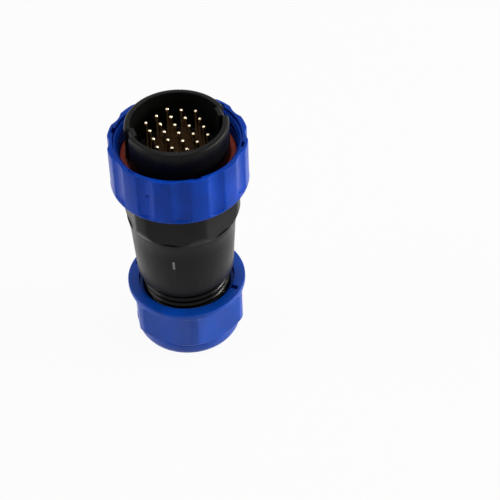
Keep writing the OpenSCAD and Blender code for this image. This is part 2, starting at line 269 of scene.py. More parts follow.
def at(angle: Degrees, r: Mm, z: Mm) -> Vector:
    """Place a point by direction, radius and height in millimetres, in metres."""
    turn = math.radians(angle)
    return Vector((r * math.cos(turn), r * math.sin(turn), z)) * MM


def skin(name: str, angles: Sequence[Degrees], section: Callable[[Degrees], Section],
         capped: bool = False) -> bpy.types.Object:
    """Skin a solid from one section per direction.

    Args:
        name: Name of the piece.
        angles: Directions round the axis, in order.
        section: Gives the anticlockwise section at a direction, always with as many points.
        capped: Whether the section runs from the axis to the axis; otherwise it is closed.

    Returns:
        The new object.
    """
    shapes = [section(angle) for angle in angles]
    skinned = slice(1, -1) if capped else slice(None)
    points = [at(angle, r, z) for angle, shape in zip(angles, shapes) for r, z in shape[skinned]]
    low = len(points)
    size = low // len(angles)
    faces: list[tuple[int, ...]] = []
    for i in range(len(angles)):
        here = i * size
        there = (i + 1) % len(angles) * size
        if capped:
            faces += [(low, there, here), (low + 1, here + size - 1, there + size - 1)]
        for j in range(size - capped):
            k = (j + 1) % size
            faces.append((here + j, there + j, there + k, here + k))
    if capped:
        points += [at(0, *shapes[0][0]), at(0, *shapes[0][-1])]
    return make_object(name, points, faces)


class NodeSheet:
    """A node tree that starts empty, with short calls to add nodes and link them."""

    def __init__(self, tree: bpy.types.NodeTree) -> None:
        """Clear the tree."""
        self.tree = tree
        self.tree.nodes.clear()

    def add(self, kind: str, values: Optional[Values] = None) -> bpy.types.Node:
        """Add a node.

        Args:
            kind: Type of the node.
            values: Constants to set and sockets to link, by the names or numbers of the inputs.

        Returns:
            The new node.
        """
        node = self.tree.nodes.new(kind)
        for name, value in (values or {}).items():
            if isinstance(value, Socket):
                self.tree.links.new(value, node.inputs[name])
            else:
                node.inputs[name].default_value = value
        return node

    def calculate(self, operation: str, first: Socket, second: Union[Socket, float]) -> Socket:
        """Work out a value from two.

        Args:
            operation: Name of the operation.
            first: First value.
            second: Second value, linked or constant.

        Returns:
            The result.
        """
        node = self.add("ShaderNodeMath", {0: first, 1: second})
        node.operation = operation
        return node.outputs["Value"]

    def surface(self, kind: str, share: Socket, first: bpy.types.Node, second: bpy.types.Node) -> None:
        """Mix two shaders on an output of a kind, by the second one's share."""
        mix = self.add("ShaderNodeMixShader", {0: share, 1: first.outputs[0], 2: second.outputs[0]})
        self.add(kind, {"Surface": mix.outputs["Shader"]})

    def backdrop_rays(self) -> Socket:
        """Tell the rays that show the backdrop from those that carry light.

        Returns:
            1 for camera, glossy and transmission rays, otherwise 0.
        """
        path = self.add("ShaderNodeLightPath")
        total = path.outputs["Is Camera Ray"]
        for name in ("Is Glossy Ray", "Is Transmission Ray"):
            total = self.calculate("MAXIMUM", total, path.outputs[name])
        return total


class ShaderSheet(NodeSheet):
    """Node tree of one material, with short calls for the nodes that the finishes share."""

    def __init__(self, name: str) -> None:
        """Start an empty material.

        Args:
            name: Name of the material.
        """
        self.material = bpy.data.materials.new(name)
        self.material.use_nodes = True
        super().__init__(self.material.node_tree)
        self.place = self.add("ShaderNodeTexCoord").outputs["Object"]

    def finish(self, values: Values) -> bpy.types.Material:
        """Put a principled shader on the output.

        Args:
            values: The shader's inputs.

        Returns:
            The material.
        """
        shader = self.add("ShaderNodeBsdfPrincipled", values)
        self.add("ShaderNodeOutputMaterial", {"Surface": shader.outputs["BSDF"]})
        return self.material

    def noise(self, size_mm: float, detail: float = 3.0, stretch: Colour = (1, 1, 1)) -> Socket:
        """Add noise in the piece's own space.

        Args:
            size_mm: Rough size of one patch.
            detail: Number of finer layers.
            stretch: Factor on each axis; below 1 draws the patches out.

        Returns:
            The noise value, about 0.5 on average.
        """
        place = self.add("ShaderNodeMapping", {"Vector": self.place, "Scale": stretch}).outputs["Vector"]
        values = {"Vector": place, "Scale": 1 / (size_mm * MM), "Detail": detail}
        return self.add("ShaderNodeTexNoise", values).outputs["Fac"]

    def spread(self, value: Socket, low: float, high: float) -> Socket:
        """Map a noise value to a range, which its usual low and high take up."""
        ends = {"From Min": NOISE_LOW, "From Max": NOISE_HIGH, "To Min": low, "To Max": high}
        return self.add("ShaderNodeMapRange", {"Value": value, **ends}).outputs["Result"]

    def between(self, share: Socket, first: Colour, second: Colour) -> Socket:
        """Mix two display colours.

        Args:
            share: 0 for the first colour, 1 for the second.
            first: Display colour.
            second: Display colour.

        Returns:
            The mixed colour.
        """
        node = self.add("ShaderNodeMix", {"Factor": share})
        node.data_type = "RGBA"
        colours = [socket for socket in node.inputs if socket.type == "RGBA"]
        colours[0].default_value = linear(first)
        colours[1].default_value = linear(second)
        return next(socket for socket in node.outputs if socket.type == "RGBA")

    def relief(self, height: Socket, depth_mm: float, strength: float,
               under: Optional[Socket] = None) -> Socket:
        """Add a bump.

        Args:
            height: Height value of 0 to 1.
            depth_mm: Real depth of the relief.
            strength: Share of the bump that shows.
            under: Normal of a bump below this one.

        Returns:
            The bumped normal.
        """
        values = {"Height": height, "Distance": depth_mm * MM, "Strength": strength}
        if under is not None:
            values["Normal"] = under
        return self.add("ShaderNodeBump", values).outputs["Normal"]


@dataclass(frozen=True)
class MouldedNylon:
    """Injection-moulded nylon with a spark-eroded grain and faint flow streaks."""

    name: str
    colour: Colour
    roughness: float
    specular: float
    mottle: float = 0.07
    patch_mm: float = 7.0
    gloss_play: float = 0.05
    streak_mm: float = 1.6
    streak_draw: Colour = (1, 1, 0.12)
    grain_mm: float = 0.16
    grain_depth_mm: float = 0.012
    grain_strength: float = 0.5
    sink_mm: float = 4.0
    sink_depth_mm: float = 0.05
    sink_strength: float = 0.35

    @cache
    def material(self) -> bpy.types.Material:
        """Build the material, once.

        Returns:
            The material.
        """
        sheet = ShaderSheet(self.name)
        patches = sheet.spread(sheet.noise(self.patch_mm), 0, 1)
        dark, pale = (scaled_colour(self.colour, 1 + side * self.mottle) for side in (-1, 1))
        streaks = sheet.noise(self.streak_mm, detail=4.0, stretch=self.streak_draw)
        glossy, dull = self.roughness - self.gloss_play, self.roughness + self.gloss_play
        sink = sheet.relief(sheet.noise(self.sink_mm, detail=1.0), self.sink_depth_mm, self.sink_strength)
        grain = sheet.noise(self.grain_mm, detail=2.0)
        return sheet.finish({
            "Base Color": sheet.between(patches, dark, pale),
            "Roughness": sheet.spread(streaks, glossy, dull),
            "Specular IOR Level": self.specular,
            "Normal": sheet.relief(grain, self.grain_depth_mm, self.grain_strength, sink),
        })


@dataclass(frozen=True)
class SoftRubber:
    """Rubber or silicone with a dusty bloom and a fine skin."""

    name: str
    colour: Colour
    bloom: Colour
    roughness: float
    specular: float = 0.3
    gloss_play: float = 0.08
    bloom_share: float = 0.25
    speck_mm: float = 0.35
    patch_mm: float = 3.5
    skin_mm: float = 0.22
    skin_depth_mm: float = 0.02
    skin_strength: float = 0.6

    @cache
    def material(self) -> bpy.types.Material:
        """Build the material, once.

        Returns:
            The material.
        """
        sheet = ShaderSheet(self.name)
        specks = sheet.spread(sheet.noise(self.speck_mm, detail=4.0), 0, 1)
        patches = sheet.noise(self.patch_mm, detail=2.0)
        bloom = sheet.calculate("MULTIPLY", specks, sheet.spread(patches, 0, self.bloom_share))
        glossy, dull = self.roughness - self.gloss_play, self.roughness + self.gloss_play
        pores = sheet.noise(self.skin_mm, detail=2.0)
        return sheet.finish({
            "Base Color": sheet.between(bloom, self.colour, self.bloom),
            "Roughness": sheet.spread(patches, glossy, dull),
            "Specular IOR Level": self.specular,
            "Normal": sheet.relief(pores, self.skin_depth_mm, self.skin_strength),
        })


@dataclass(frozen=True)
class GoldPlate:
    """Gold plating over turned brass, with fine turning marks."""

    name: str
    colour: Colour
    deep: Colour
    roughness: float
    gloss_gain: float = 0.04
    gloss_loss: float = 0.06
    mark_mm: float = 0.09
    mark_draw: Colour = (0.05, 0.05, 1)
    mark_depth_mm: float = 0.004
    mark_strength: float = 0.5
    patch_mm: float = 2.0

    @cache
    def material(self) -> bpy.types.Material:
        """Build the material, once.

        Returns:
            The material.
        """
        sheet = ShaderSheet(self.name)
        patches = sheet.noise(self.patch_mm)
        glossy, dull = self.roughness - self.gloss_gain, self.roughness + self.gloss_loss
        marks = sheet.noise(self.mark_mm, detail=1.0, stretch=self.mark_draw)
        return sheet.finish({
            "Base Color": sheet.between(sheet.spread(patches, 0, 1), self.colour, self.deep),
            "Roughness": sheet.spread(patches, glossy, dull),
            "Metallic": 1.0,
            "Normal": sheet.relief(marks, self.mark_depth_mm, self.mark_strength),
        })


class Finish(Enum):
    """Finishes of the plug: one for each slot of the record, and the body's mark and thread; the mark's
    pale grey is a painted highlight, the thread's darker black is painted shade and the inner plastic's
    brown is a painted reflection of the gold pins.
    """

    GRIP_BLUE = MouldedNylon("grip_nylon_blue", (5, 68, 186), 0.3, 0.12)
    GLAND_BLUE = MouldedNylon("gland_nylon_blue", (5, 75, 187), 0.38, 0.28)
    SHELL_BLACK = MouldedNylon("shell_nylon_black", (14, 14, 14), 0.31, 0.12)
    # Black insert plastic tinted brown: the brown is a painted reflection of the gold pins, not the
    # plastic's own colour.
    INSERT_BLACK = MouldedNylon("insert_black_painted_gold_reflection", (62, 47, 32), 0.45, 0.12)
    # Pale grey on the index mark's raised top is a painted highlight, where the raised bar catches light.
    MARK_GREY = MouldedNylon("index_mark_painted_highlight", (140, 140, 138), 0.5, 0.2)
    # The thread's lower roughness is its own gloss; its darker black than the body's is painted shade
    # under the body.
    THREAD_BLACK = MouldedNylon("thread_nylon_gloss_painted_shade", (4, 4, 4), 0.17, 0.12, grain_depth_mm=0.002,
                                sink_depth_mm=0.01)
    SEAL_RED = SoftRubber("silicone_red", (156, 54, 34), (176, 92, 66), 0.5)
    RUBBER_BLACK = SoftRubber("rubber_black", (24, 24, 24), (58, 58, 56), 0.62)
    CONTACT_GOLD = GoldPlate("gold_plate", (250, 242, 224), (212, 188, 148), 0.16)


def place(piece: bpy.types.Object, body: Body, slot: Slot, *nodes: str) -> bpy.types.Object:
    """Dress a new piece and tie it to the frame.

    Args:
        piece: The new object, in place.
        body: Body that it rides on.
        slot: Material slot of the record, which names its finish.
        nodes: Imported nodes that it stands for.

    Returns:
        The same object.
    """
    piece.data.materials.append(Finish[slot.name].value.material())
    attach(piece, body.value)
    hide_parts(*nodes)
    LOG.info("%s: %d faces, rides on %s", piece.name, len(piece.data.polygons), body.value)
    return piece


@dataclass(frozen=True)
class Hexagon:
    """Six flats with trimmed corners."""

    turn: Degrees
    flat: Mm
    corner: Mm
    blend: Mm
    reach: Degrees

    def radius(self, angle: Degrees) -> Mm:
        """Give the radius in a direction."""
        off_flat = (angle - self.turn) % 60 - 30
        return soft_min(self.flat / math.cos(math.radians(off_flat)), self.corner, self.blend)

    def edges(self) -> list[Degrees]:
        """List close directions round the corners."""
        corners = [self.turn + 60 * i for i in range(6)]
        return [angle for corner in corners for angle in fan(corner, self.reach)]


@dataclass(frozen=True)
class Spokes:
    """Evenly spaced slots, ribs or notches with straight sides."""

    first: Degrees
    count: int
    width: Mm
    radius: Mm

    def middles(self) -> list[Degrees]:
        """List the directions of their middles."""
        return [self.first + 360 / self.count * i for i in range(self.count)]

    def half(self) -> Degrees:
        """Give half the angle that each of them takes up."""
        return math.degrees(math.asin(self.width / 2 / self.radius))

    def hold(self, angle: Degrees) -> bool:
        """Tell whether a direction runs through one of them."""
        return any(abs(turn_between(angle, middle)) < self.half() for middle in self.middles())

    def edges(self) -> list[Degrees]:
        """List the directions between which their sides rise."""
        sides = [middle + side * self.half() for middle in self.middles() for side in (-1, 1)]
        return [angle for side in sides for angle in edge_pair(side)]


@dataclass(frozen=True)
class Thread:
    """A right-hand thread with bevelled trapezoidal ridges, whose rows follow the helix."""

    depth: Mm
    start: Mm
    low: Mm
    high: Mm
    pitch: Mm = 2.0
    fade: Mm = 0.9
    crest: float = 0.06
    bevel: float = 0.30
    root: float = 0.38
    bevel_drop: float = 0.55
    bevel_inset: float = 0.15
    seam: Degrees = 72.0
    seam_width: Degrees = 0.03
    row_gap: Mm = 0.0002

    def ridge(self, angle: Degrees, z: Mm) -> Mm:
        """Give the ridge's height at a direction and level.

        Args:
            angle: Direction.
            z: Level.

        Returns:
            Height from 0 to the thread's depth.
        """
        phase = ((z - self.start) / self.pitch - angle / 360) % 1
        off = abs(phase - 0.5)
        edge = ramp(self.crest, self.bevel, off)
        side = ramp(self.bevel, self.root, off)
        flank = (1 - self.bevel_drop * edge) - (1 - self.bevel_drop) * side
        fade_in = smooth_step(self.low, self.low + self.fade, z)
        fade_out = smooth_step(self.high, self.high - self.fade, z)
        return self.depth * flank * (fade_in * fade_out)

    def stations(self) -> list[float]:
        """List where the profile is taken: at its edges and at points on the bevels.

        Returns:
            Rising shares of a pitch.
        """
        inset = self.bevel_inset * (self.bevel - self.crest)
        offsets = (self.crest, self.crest + inset, self.bevel - inset, self.bevel, self.root)
        return sorted(0.5 + side * offset for side in (-1, 1) for offset in offsets)

    def corners(self, angle: Degrees, root_radius: Mm) -> list[Corner]:
        """Give the thread's points in a direction.

        Args:
            angle: Direction.
            root_radius: Radius that the ridge stands out from.

        Returns:
            Rising corners without fillets, as many in every direction.
        """
        lead = ((angle - self.seam) % 360 + self.seam) / 360
        first = math.floor((self.low - self.start) / self.pitch - self.seam / 360) - 1
        last = math.floor((self.high - self.start) / self.pitch - self.seam / 360)
        shares = [k + share + lead for k in range(first, last + 1) for share in self.stations()]
        inside = [min(self.high, max(self.low, self.start + self.pitch * share)) for share in shares]
        levels = [z + i * self.row_gap for i, z in enumerate(inside)]
        return [(root_radius + self.ridge(angle, z), z, 0.0) for z in levels]

    def edges(self) -> list[Degrees]:
        """Give the two directions between which the rows step down by one pitch."""
        return [self.seam - self.seam_width, self.seam]


@dataclass
class RingPiece:
    """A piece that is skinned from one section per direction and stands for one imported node."""

    node: str
    body: Body
    slot: Slot
    steps: int

    def __post_init__(self) -> None:
        """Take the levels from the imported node."""
        self.span = Span.of(self.node)

    def section(self, angle: Degrees) -> Section:
        """Give the piece's section in a direction."""
        raise NotImplementedError

    def edges(self) -> list[Degrees]:
        """List the directions to add where the shape changes fast."""
        return []

    def build(self) -> bpy.types.Object:
        """Build and dress the piece, and give the new object."""
        piece = skin(f"{self.node}_skin", angles_with(self.edges(), self.steps), self.section)
        return place(piece, self.body, self.slot, self.node)


@dataclass
class CouplingRing(RingPiece):
    """Fluted grip ring, slotted inside for the nut's ribs."""

    bore: Mm = 17.35
    bore_break: Mm = 0.12
    valley: Mm = 18.25
    flutes: int = 12
    flute_width: Mm = 5.0
    flute_runout: Mm = 0.6
    runout_rows: Mm = 0.1
    crease: Mm = 0.05
    slot_radius: Mm = 18.05
    slot_width: Mm = 2.1
    slot_count: int = 6
    foot_round: Mm = 0.4
    dimple_turn: Degrees = -133.5
    dimple_drop: Mm = 6.0
    dimple_radius: Mm = 0.75
    dimple_depth: Mm = 0.28
    dimple_rows: Mm = 0.09
    dimple_reach: Degrees = 3.0
    dish_floor: float = 0.6
    nub_foot: float = 0.45
    nub_top: float = 0.2
    nub_height: float = 0.75

    def __post_init__(self) -> None:
        """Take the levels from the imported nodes, and lay out the flutes and the slots."""
        super().__post_init__()
        self.slot_floor = Span.of("coupling_nut").foot
        self.crest = self.span.reach
        half = self.flute_width / 2
        sag = math.sqrt(self.crest ** 2 - half ** 2) - self.valley
        self.cut = (half ** 2 + sag ** 2) / (2 * sag)
        self.pitch = 360 / self.flutes
        self.slots = Spokes(self.pitch, self.slot_count, self.slot_width, self.bore)
        self.flute_end = self.span.foot + self.foot_round

    def outer(self, angle: Degrees, z: Mm) -> Mm:
        """Give the outer radius, with the flutes running out towards the foot.

        Args:
            angle: Direction.
            z: Level.

        Returns:
            The radius there.
        """
        off_flute = math.radians(angle % self.pitch - self.pitch / 2)
        centre = self.valley + self.cut
        share = ramp(self.flute_end, self.flute_end + self.flute_runout, z)
        cut = self.cut - (self.crest - self.valley) * (1 - share)
        inside = cut ** 2 - (centre * math.sin(off_flute)) ** 2
        if inside <= 0:
            return self.crest
        flute = centre * math.cos(off_flute) - math.sqrt(inside)
        return soft_min(self.crest, flute, self.crease)

    def dimple(self, angle: Degrees, z: Mm) -> Mm:
        """Give the depth of the gate mark: a dish with a low nub in its middle.

        Args:
            angle: Direction.
            z: Level.

        Returns:
            The depth there.
        """
        across = math.radians(turn_between(angle, self.dimple_turn)) * self.crest
        away = math.hypot(across, z - (self.span.top - self.dimple_drop)) / self.dimple_radius
        dish = smooth_step(1.0, self.dish_floor, away)
        nub = self.nub_height * smooth_step(self.nub_foot, self.nub_top, away)
        return self.dimple_depth * (dish - nub)

    def section(self, angle: Degrees) -> Section:
        """Give the ring's section in a direction.

        Args:
            angle: Direction.

        Returns:
            The section's points.
        """
        inner = self.slot_radius if self.slots.hold(angle) else self.bore
        foot, top = self.span.foot, self.span.top
        middle = top - self.dimple_drop
        levels = rows(self.flute_end, self.flute_end + self.flute_runout, self.runout_rows)
        levels += rows(middle - self.dimple_radius, middle + self.dimple_radius, self.dimple_rows)
        return rounded([
            (self.bore, foot, Fillet.MEDIUM),
            (self.crest, foot, self.foot_round),
            *((self.outer(angle, z) - self.dimple(angle, z), z, 0.0) for z in levels),
            (self.outer(angle, top), top, Fillet.PLAIN),
            (inner, top, self.bore_break),
            (inner, self.slot_floor, 0.0),
            (self.bore, self.slot_floor - STEP_RISE, 0.0),
        ])

    def edges(self) -> list[Degrees]:
        """List the directions round the slots and the gate mark."""
        return self.slots.edges() + fan(self.dimple_turn, self.dimple_reach)


@dataclass
class CouplingNut(RingPiece):
    """Threaded nut inside the grip ring, with ribs that key the two together."""

    bore: Mm = 16.1
    radius: Mm = 17.3
    edge: Mm = 0.12
    lip_radius: Mm = 12.35
    lip_height: Mm = 2.0
    lead_width: Mm = 0.65
    lead_depth: Mm = 0.9
    rib_width: Mm = 2.0
    rib_height: Mm = 0.7
    rib_drop: Mm = 3.0
    rib_count: int = 6
    rib_turn: Degrees = 30.0
    thread_depth: Mm = 0.6
    thread_lip_gap: Mm = 0.5
    thread_lead_gap: Mm = 0.2

    def __post_init__(self) -> None:
        """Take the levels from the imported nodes, and lay out the ribs and the thread."""
        super().__post_init__()
        self.rib_top = Span.of("coupling_ring").top - self.rib_drop
        self.ribs = Spokes(self.rib_turn, self.rib_count, self.rib_width, self.radius)
        self.lip_top = self.span.foot + self.lip_height
        self.lead_foot = self.span.top - self.lead_depth
        self.thread = Thread(self.thread_depth, self.lip_top,
                             self.lip_top + self.thread_lip_gap, self.lead_foot - self.thread_lead_gap)

    def section(self, angle: Degrees) -> Section:
        """Give the nut's section in a direction.

        Args:
            angle: Direction.

        Returns:
            The section's points.
        """
        outer = self.radius + (self.rib_height if self.ribs.hold(angle) else 0.0)
        return rounded([
            (self.lip_radius, self.span.foot, self.edge),
            (outer, self.span.foot, self.edge),
            (outer, self.rib_top, 0.0),
            (self.radius, self.rib_top + STEP_RISE, 0.0),
            (self.radius, self.span.top, self.edge),
            (self.bore + self.lead_width, self.span.top, self.edge),
            (self.bore, self.lead_foot, self.edge),
            *reversed(self.thread.corners(angle, self.bore)),
            (self.bore, self.lip_top, self.edge),
            (self.lip_radius, self.lip_top, self.edge),
        ])

    def edges(self) -> list[Degrees]:
        """List the directions at the ribs and at the thread's seam."""
        return self.thread.edges() + self.ribs.edges()


@dataclass
class FrontShell(RingPiece):
    """Nose with two keyways, by direction and width, flange and spigot."""

    bore: Mm = 10.95
    seat: Mm = 10.35
    seat_height: Mm = 2.0
    spigot: Mm = 12.25
    nose_inside: Mm = 12.3
    nose_outside: Mm = 14.0
    key_depth: Mm = 1.0
    keys: tuple[tuple[Degrees, Degrees], ...] = ((0.0, 17.6), (180.0, 15.0))
    key_ease: Degrees = 0.7
    key_rise: Mm = 0.12
    flange_height: Mm = 3.6
    rim_round: Mm = 1.2

    def __post_init__(self) -> None:
        """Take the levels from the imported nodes."""
        super().__post_init__()
        self.seal = Span.of("face_seal")
        self.face = Span.of("contact_insert").top

    def key(self, angle: Degrees) -> float:
        """Give how far the keyways push the nose's wall inwards.

        Args:
            angle: Direction.

        Returns:
            Share of the keyways' depth, from 0 to 1.
        """
        share = 0.0
        for turn, width in self.keys:
            off = abs(turn_between(angle, turn))
            share = max(share, smooth_step(width / 2 + self.key_ease, width / 2 - self.key_ease, off))
        return share

    def section(self, angle: Degrees) -> Section:
        """Give the shell's section in a direction.

        Args:
            angle: Direction.

        Returns:
            The section's points.
        """
        push = self.key_depth * self.key(angle)
        outside = self.nose_outside - push
        inside = self.nose_inside - push
        foot, top, flange = self.span.foot, self.span.top, self.span.reach
        flange_foot = self.seal.foot - self.flange_height
        seat_foot = self.face - self.seat_height
        return rounded([
            (self.bore, foot, Fillet.SMALL),
            (self.spigot, foot, Fillet.PLAIN),
            (self.spigot, flange_foot, Fillet.SLIGHT),
            (flange, flange_foot, Fillet.MEDIUM),
            (flange, self.seal.foot, Fillet.SMALL),
            (self.nose_outside, self.seal.foot, 0.0),
            (self.nose_outside, self.seal.top, 0.0),
            (outside, self.seal.top + self.key_rise, 0.0),
            (outside, top, self.rim_round),
            (inside, top, Fillet.MEDIUM),
            (inside, self.face, Fillet.PLAIN),
            (self.seat, self.face, Fillet.SLIGHT),
            (self.seat, seat_foot, 0.0),
            (self.bore, seat_foot, 0.0),
        ])

    def edges(self) -> list[Degrees]:
        """List the directions at the keyways' sides."""
        sides = [turn + side * width / 2 for turn, width in self.keys for side in (-1, 1)]
        return [angle for side in sides for angle in fan(side, self.key_ease, steps=3)]


@dataclass
class FaceSeal(RingPiece):
    """Silicone ring at the foot of the nose."""

    hole: Mm = 14.05
    crown_height: Mm = 0.08
    crown_round: Mm = 1.0

    def section(self, angle: Degrees) -> Section:
        """Give the seal's section, the same in every direction.

        Args:
            angle: Direction.

        Returns:
            The section's points.
        """
        foot, top, reach = self.span.foot, self.span.top, self.span.reach
        return rounded([
            (self.hole, foot, Fillet.BROKEN),
            (reach, foot, Fillet.BROKEN),
            (reach, top - self.crown_height, Fillet.FULL),
            ((self.hole + reach) / 2, top, self.crown_round),
            (self.hole, top - self.crown_height, Fillet.PLAIN),
        ])


@dataclass
class Contacts:
    """Gold-plated pins with solder cups cut open on one side."""

    count: int = 24
    steps: int = 32
    radius: Mm = 0.5
    dome_steps: int = 8
    cup_radius: Mm = 0.8
    cup_hole: Mm = 0.55
    cup_depth: Mm = 3.2
    collar_top: Mm = 60.0
    window: Degrees = 90.0
    window_ease: Degrees = 0.5

    def section(self, angle: Degrees, span: Span) -> Section:
        """Give a contact's section in a direction.

        Args:
            angle: Direction from the contact's own axis.
            span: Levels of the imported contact.

        Returns:
            The section from the bottom of the cup's hole to the tip.
        """
        hole_top = span.foot + self.cup_depth
        cut = abs(turn_between(angle, 0)) < self.window
        end = span.foot + (self.cup_depth / 2 if cut else 0.0)
        corners = [
            (0.0, hole_top, 0.0),
            (self.cup_hole, hole_top, Fillet.BROKEN),
            (self.cup_hole, end, Fillet.FINE),
            (self.cup_radius, end, Fillet.FINE),
            (self.cup_radius, self.collar_top, Fillet.BROKEN),
            (self.radius, self.collar_top, 0.0),
        ]
        for step in range(self.dome_steps + 1):
            t = step / self.dome_steps * math.pi / 2
            z = span.top - self.radius + self.radius * math.sin(t)
            corners.append((self.radius * math.cos(t), z, 0.0))
        return rounded(corners, closed=False)

    def build(self) -> None:
        """Build and dress every contact."""
        edges = edge_pair(self.window, self.window_ease) + edge_pair(-self.window, self.window_ease)
        angles = angles_with(edges, self.steps)
        for number in range(1, self.count + 1):
            node = f"contact_{number:02d}"
            low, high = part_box(node)
            span = Span.of(node)
            piece = skin(f"{node}_skin", angles, lambda angle: self.section(angle, span), capped=True)
            piece.location = ((low.x + high.x) / 2, (low.y + high.y) / 2, 0)
            place(piece, Body.SHELL, Slot.CONTACT_GOLD, node)


@dataclass
class BackShell(RingPiece):
    """Body with wrench flats, a tapered round part and the rear thread."""

    grommet_bore: Mm = 9.85
    neck: Mm = 8.9
    grommet_top: Mm = 17.4
    thread_root: Mm = 11.75
    thread_depth: Mm = 0.7
    thread_turn: Degrees = -60.0
    thread_first_crest: float = 0.75
    thread_foot_gap: Mm = 0.6
    thread_body_gap: Mm = 0.1
    body_end: Mm = 24.2
    body_end_radius: Mm = 13.65
    body_wall: Mm = 2.4
    chamber: Mm = 11.25
    shoulder: Mm = 40.4
    shoulder_radius: Mm = 14.65
    shoulder_round: Mm = 60.0
    ledge: Mm = 44.5
    ledge_radius: Mm = 15.35
    ledge_drop: Mm = 0.02
    flats: Hexagon = Hexagon(turn=30.0, flat=15.0, corner=16.27, blend=0.12, reach=11.0)
    bevel_step: Mm = 0.2
    bevel_step_height: Mm = 0.12
    bevel_height: Mm = 1.3
    bevel_slope: Degrees = 20.0
    bevel_blend: Mm = 2.0
    bevel_crease: Mm = 0.02
    bevel_rows: int = 8
    blend_rows: int = 6
    bore: Mm = 12.3
    o_ring_seat: Mm = 11.15
    o_ring_floor: Mm = 48.9
    mark_turn: Degrees = 241.8
    mark_level: Mm = 36.5
    mark_length: Mm = 2.9
    mark_width: Mm = 0.64
    mark_height: Mm = 0.2
    mark_ease: Mm = 0.06
    mark_rows: tuple[Mm, ...] = (-0.1, -0.05, 0.0, 0.05, 0.1)
    mark_reach: Degrees = 2.0
    finishes: tuple[Finish, ...] = (Finish.SHELL_BLACK, Finish.MARK_GREY, Finish.THREAD_BLACK)

    def __post_init__(self) -> None:
        """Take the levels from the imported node, and lay out the thread."""
        super().__post_init__()
        crest = self.body_end - self.thread_first_crest * Thread.pitch
        start = crest - Thread.pitch * (0.5 + self.thread_turn / 360)
        self.thread = Thread(self.thread_depth, start,
                             self.span.foot + self.thread_foot_gap, self.body_end - self.thread_body_gap)

    def taper(self, z: Mm) -> Mm:
        """Give the round body's radius at a level under the shoulder."""
        share = (z - self.body_end) / (self.shoulder - self.body_end)
        return self.body_end_radius + (self.shoulder_radius - self.body_end_radius) * share

    def mark(self, angle: Degrees, z: Mm) -> Mm:
        """Give how far the index mark stands out.

        Args:
            angle: Direction.
            z: Level.

        Returns:
            The height there.
        """
        across = abs(math.radians(turn_between(angle, self.mark_turn))) * self.taper(self.mark_level)
        share = 1.0
        for size, off in ((self.mark_width, across), (self.mark_length, abs(z - self.mark_level))):
            share *= smooth_step(size / 2 + self.mark_ease, size / 2 - self.mark_ease, off)
        return self.mark_height * share

    def mark_levels(self) -> list[Mm]:
        """List the levels at which the index mark's shape is taken."""
        ends = [self.mark_level + side * self.mark_length / 2 for side in (-1, 1)]
        return [end + ease for end in ends for ease in self.mark_rows]

    def bevel(self, flats: Mm) -> list[Corner]:
        """Give the points from the ledge up to where the bevel meets the wrench flats.

        Args:
            flats: Radius of the wrench flats in the section's direction.

        Returns:
            Corners without fillets, with the flats kept inside the rounded bevel.
        """
        start = self.ledge + self.bevel_step_height
        end = start + self.bevel_height
        foot = self.ledge_radius + self.bevel_step
        rise = self.bevel_height * math.tan(math.radians(self.bevel_slope))
        top = foot + rise
        over = self.flats.corner + self.bevel_step - top
        shares = [i / self.bevel_rows for i in range(self.bevel_rows + 1)]
        cone = [(foot + rise * share, start + self.bevel_height * share) for share in shares]
        shares = [i / self.blend_rows for i in range(1, self.blend_rows + 1)]
        blend = [(top + over * share, end + self.bevel_blend * share) for share in shares]
        points: list[Corner] = [(min(flats, self.ledge_radius), self.ledge, 0.0)]
        points += [(soft_min(flats, r, self.bevel_crease), z, 0.0) for r, z in cone + blend]
        return points

    def section(self, angle: Degrees) -> Section:
        """Give the body's section in a direction.

        Args:
            angle: Direction.

        Returns:
            The section's points.
        """
        flats = self.flats.radius(angle)
        foot, top = self.span.foot, self.span.top
        return rounded([
            (self.grommet_bore, foot, Fillet.SMALL),
            (self.thread_root, foot, Fillet.PLAIN),
            *self.thread.corners(angle, self.thread_root),
            (self.thread_root, self.body_end, 0.0),
            (self.body_end_radius, self.body_end, Fillet.LARGE),
            *((self.taper(z) + self.mark(angle, z), z, 0.0) for z in self.mark_levels()),
            (self.shoulder_radius, self.shoulder, self.shoulder_round),
            (self.ledge_radius, self.ledge - self.ledge_drop, Fillet.SLIGHT),
            *self.bevel(flats),
            (flats, top, Fillet.LARGE),
            (self.bore, top, Fillet.PLAIN),
            (self.bore, self.o_ring_floor, 0.0),
            (self.o_ring_seat, self.o_ring_floor, Fillet.BROKEN),
            (self.o_ring_seat, self.shoulder, 0.0),
            (self.chamber, self.body_end + self.body_wall, Fillet.FULL),
            (self.neck, self.body_end, Fillet.FULL),
            (self.neck, self.grommet_top, Fillet.BROKEN),
            (self.grommet_bore, self.grommet_top, 0.0),
        ])

    def edges(self) -> list[Degrees]:
        """List the directions at the corners, the thread's seam and the index mark."""
        return self.flats.edges() + self.thread.edges() + fan(self.mark_turn, self.mark_reach)

    def face_finish(self, centre: Vector) -> Finish:
        """Choose the finish of a face.

        Args:
            centre: The face's centre in millimetres.

        Returns:
            The mark's pale grey painted highlight on its raised top, the thread's darker finish with
            painted shade on the thread, otherwise the body's.
        """
        x, y, z = centre
        reach = math.hypot(x, y)
        if z < self.body_end:
            # Thread faces take the darker finish, which holds painted shade.
            on_thread = reach > self.grommet_bore + self.thread_depth
            return Finish.THREAD_BLACK if on_thread else Finish.SHELL_BLACK
        # Raised faces of the index mark take the pale grey painted highlight.
        raised = self.mark(math.degrees(math.atan2(y, x)), z) > self.mark_height / 2
        return Finish.MARK_GREY if raised and reach > self.taper(z) else Finish.SHELL_BLACK

    def build(self) -> bpy.types.Object:
        """Build and dress the body, with its index mark's raised top in pale grey as a painted highlight
        and a glossier thread whose darker black is painted shade.

        Returns:
            The new object.
        """
        piece = super().build()
        for finish in self.finishes[1:]:
            piece.data.materials.append(finish.value.material())
        for face in piece.data.polygons:
            face.material_index = self.finishes.index(self.face_finish(face.center / MM))
        return piece


